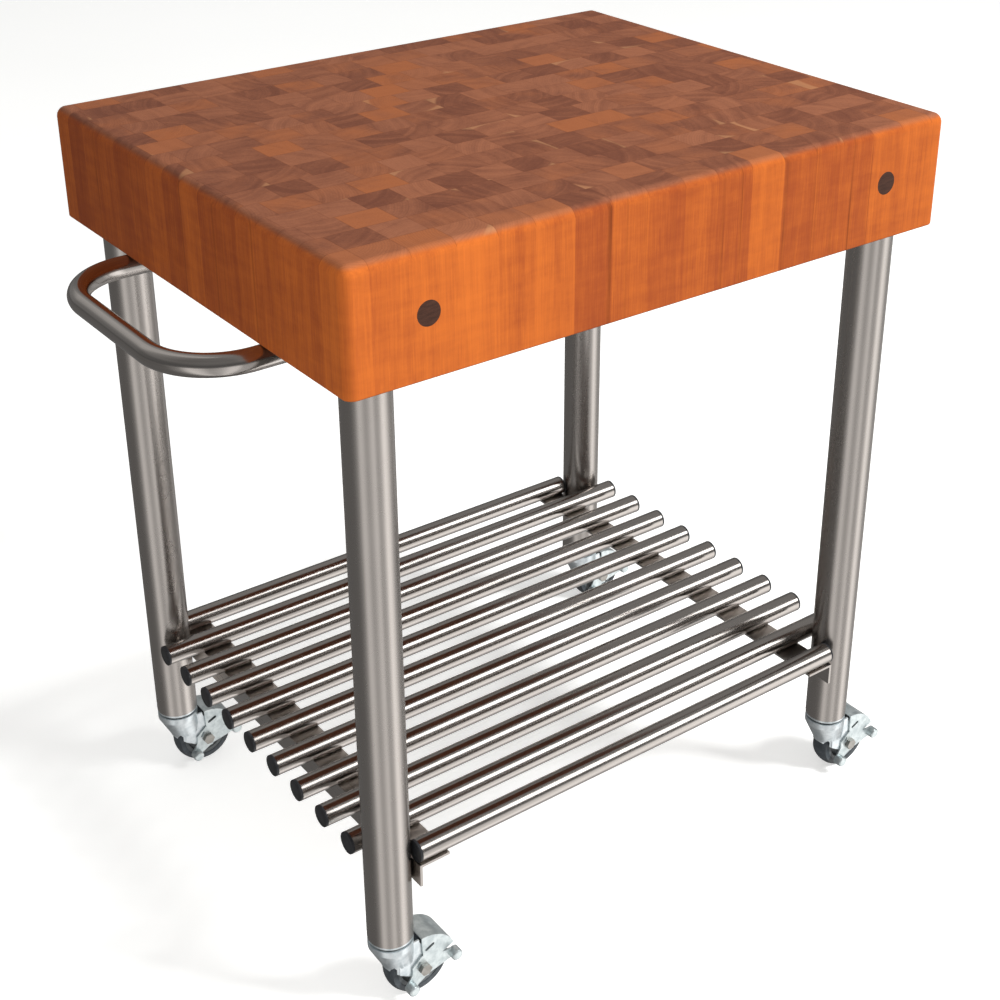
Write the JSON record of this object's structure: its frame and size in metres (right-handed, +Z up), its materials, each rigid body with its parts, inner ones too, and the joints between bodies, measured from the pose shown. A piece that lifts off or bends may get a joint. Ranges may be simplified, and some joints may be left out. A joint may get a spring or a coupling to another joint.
{
  "type": "butcher block table",
  "caption": "Rolling work table: thick end-grain wood block on round steel legs, towel handle, tube shelf and locking swivel casters.",
  "frame": {"origin": "centre of the table's outer box at floor level, midway between the handle's outer side and the right brake pedals", "axes": "+Z up, +X along the block's long side away from the towel handle, +Y from the front face towards the back"},
  "size_m": [0.884, 0.6096, 0.889],
  "materials": {
    "cherry_wood": "oiled end grain",
    "plug_brown": "satin",
    "cap_black": "moulded",
    "stainless_steel": "brushed along the tube",
    "tyre_grey": "moulded tread",
    "hub_grey": "moulded",
    "pedal_grey": "satin",
    "zinc_plate": "bright zinc plate",
    "fastener_steel": "plain"
  },
  "bodies": {
    "table": {"butcher_block": "cherry_wood", "tie_rods": "fastener_steel", "tie_rod_washers": "fastener_steel", "tie_rod_nuts": "fastener_steel", "rod_plugs": "plug_brown", "leg_front_left": "stainless_steel", "leg_front_right": "stainless_steel", "leg_back_left": "stainless_steel", "leg_back_right": "stainless_steel", "leg_plates": "stainless_steel", "leg_plate_screws": "fastener_steel", "handle_tube": "stainless_steel", "handle_caps": "cap_black", "handle_screws": "fastener_steel", "shelf_tube_01": "stainless_steel", "shelf_tube_02": "stainless_steel", "shelf_tube_03": "stainless_steel", "shelf_tube_04": "stainless_steel", "shelf_tube_05": "stainless_steel", "shelf_tube_06": "stainless_steel", "shelf_tube_07": "stainless_steel", "shelf_tube_08": "stainless_steel", "shelf_tube_09": "stainless_steel", "shelf_tube_10": "stainless_steel", "shelf_tube_11": "stainless_steel", "shelf_tube_caps": "cap_black", "shelf_screws": "fastener_steel", "rail_left": "stainless_steel", "rail_right": "stainless_steel", "rail_bolts": "fastener_steel", "rail_rivet_nuts": "fastener_steel", "caster_sockets": "zinc_plate", "caster_bearing_balls": "fastener_steel", "caster_stem_front_left": "zinc_plate", "caster_stem_front_right": "zinc_plate", "caster_stem_back_left": "zinc_plate", "caster_stem_back_right": "zinc_plate"},
    "swivel_front_left": {"caster_fork_front_left": "zinc_plate", "caster_axle_front_left": "fastener_steel"},
    "wheel_front_left": {"wheel_hub_front_left": "hub_grey", "wheel_tyre_front_left": "tyre_grey"},
    "brake_front_left": {"brake_pedal_front_left": "pedal_grey"},
    "swivel_front_right": {"caster_fork_front_right": "zinc_plate", "caster_axle_front_right": "fastener_steel"},
    "wheel_front_right": {"wheel_hub_front_right": "hub_grey", "wheel_tyre_front_right": "tyre_grey"},
    "brake_front_right": {"brake_pedal_front_right": "pedal_grey"},
    "swivel_back_left": {"caster_fork_back_left": "zinc_plate", "caster_axle_back_left": "fastener_steel"},
    "wheel_back_left": {"wheel_hub_back_left": "hub_grey", "wheel_tyre_back_left": "tyre_grey"},
    "brake_back_left": {"brake_pedal_back_left": "pedal_grey"},
    "swivel_back_right": {"caster_fork_back_right": "zinc_plate", "caster_axle_back_right": "fastener_steel"},
    "wheel_back_right": {"wheel_hub_back_right": "hub_grey", "wheel_tyre_back_right": "tyre_grey"},
    "brake_back_right": {"brake_pedal_back_right": "pedal_grey"}
  },
  "joints": [
    {"name": "swivel_turn_front_left", "type": "hinge", "parent": "table", "child": "swivel_front_left", "pos_m": [-0.3008, -0.2555, 0.084], "axis": [0, 0, 1], "continuous": true},
    {"name": "wheel_roll_front_left", "type": "hinge", "parent": "swivel_front_left", "child": "wheel_front_left", "pos_m": [-0.2708, -0.2555, 0.0381], "axis": [0, 1, 0], "continuous": true},
    {"name": "brake_press_front_left", "type": "hinge", "parent": "swivel_front_left", "child": "brake_front_left", "pos_m": [-0.2708, -0.2555, 0.0381], "axis": [0, 1, 0], "range_deg": [0, 14]},
    {"name": "swivel_turn_front_right", "type": "hinge", "parent": "table", "child": "swivel_front_right", "pos_m": [0.366, -0.2555, 0.084], "axis": [0, 0, 1], "continuous": true},
    {"name": "wheel_roll_front_right", "type": "hinge", "parent": "swivel_front_right", "child": "wheel_front_right", "pos_m": [0.396, -0.2555, 0.0381], "axis": [0, 1, 0], "continuous": true},
    {"name": "brake_press_front_right", "type": "hinge", "parent": "swivel_front_right", "child": "brake_front_right", "pos_m": [0.396, -0.2555, 0.0381], "axis": [0, 1, 0], "range_deg": [0, 14]},
    {"name": "swivel_turn_back_left", "type": "hinge", "parent": "table", "child": "swivel_back_left", "pos_m": [-0.3008, 0.2555, 0.084], "axis": [0, 0, 1], "continuous": true},
    {"name": "wheel_roll_back_left", "type": "hinge", "parent": "swivel_back_left", "child": "wheel_back_left", "pos_m": [-0.2708, 0.2555, 0.0381], "axis": [0, 1, 0], "continuous": true},
    {"name": "brake_press_back_left", "type": "hinge", "parent": "swivel_back_left", "child": "brake_back_left", "pos_m": [-0.2708, 0.2555, 0.0381], "axis": [0, 1, 0], "range_deg": [0, 14]},
    {"name": "swivel_turn_back_right", "type": "hinge", "parent": "table", "child": "swivel_back_right", "pos_m": [0.366, 0.2555, 0.084], "axis": [0, 0, 1], "continuous": true},
    {"name": "wheel_roll_back_right", "type": "hinge", "parent": "swivel_back_right", "child": "wheel_back_right", "pos_m": [0.396, 0.2555, 0.0381], "axis": [0, 1, 0], "continuous": true},
    {"name": "brake_press_back_right", "type": "hinge", "parent": "swivel_back_right", "child": "brake_back_right", "pos_m": [0.396, 0.2555, 0.0381], "axis": [0, 1, 0], "range_deg": [0, 14]}
  ]
}
